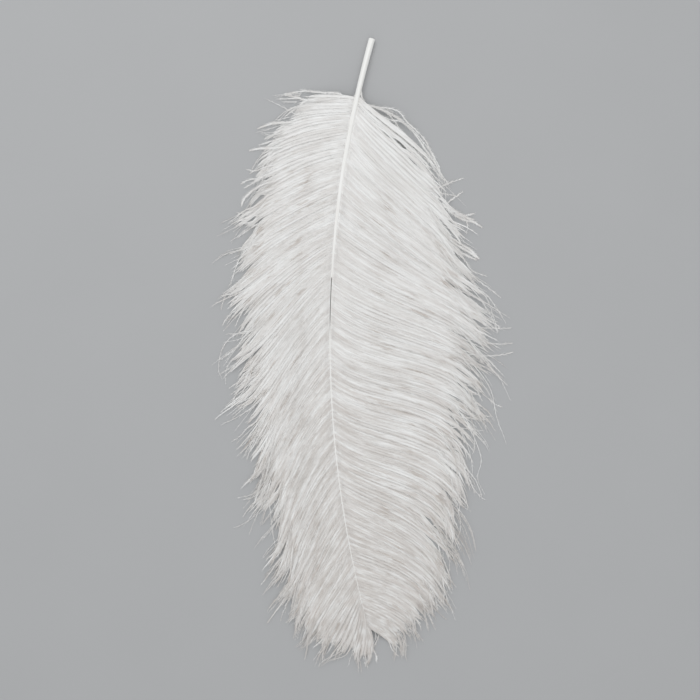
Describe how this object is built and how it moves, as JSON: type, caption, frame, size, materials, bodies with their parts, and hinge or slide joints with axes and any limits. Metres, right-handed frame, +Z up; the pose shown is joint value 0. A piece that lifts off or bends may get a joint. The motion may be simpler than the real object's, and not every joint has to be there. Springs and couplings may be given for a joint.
{
  "type": "ostrich feather",
  "caption": "White ostrich plume lying flat: a bowed tapering quill and rachis with two broad soft vanes of drooping pointed barb locks.",
  "frame": {"origin": "on the surface the feather lies on, under the middle of its bounding box", "axes": "+Z up out of the surface, +Y along the feather towards the quill's cut end, +X towards the right vane as one looks down on the best side with the quill at the top"},
  "size_m": [0.295, 0.639, 0.0156],
  "materials": {
    "quill": "smooth satin keratin, off-white",
    "barbs": "soft matt white down with faint warm grey streaks"
  },
  "bodies": {
    "root": {"shaft": "quill", "left_vane": "barbs", "right_vane": "barbs"}
  },
  "joints": []
}
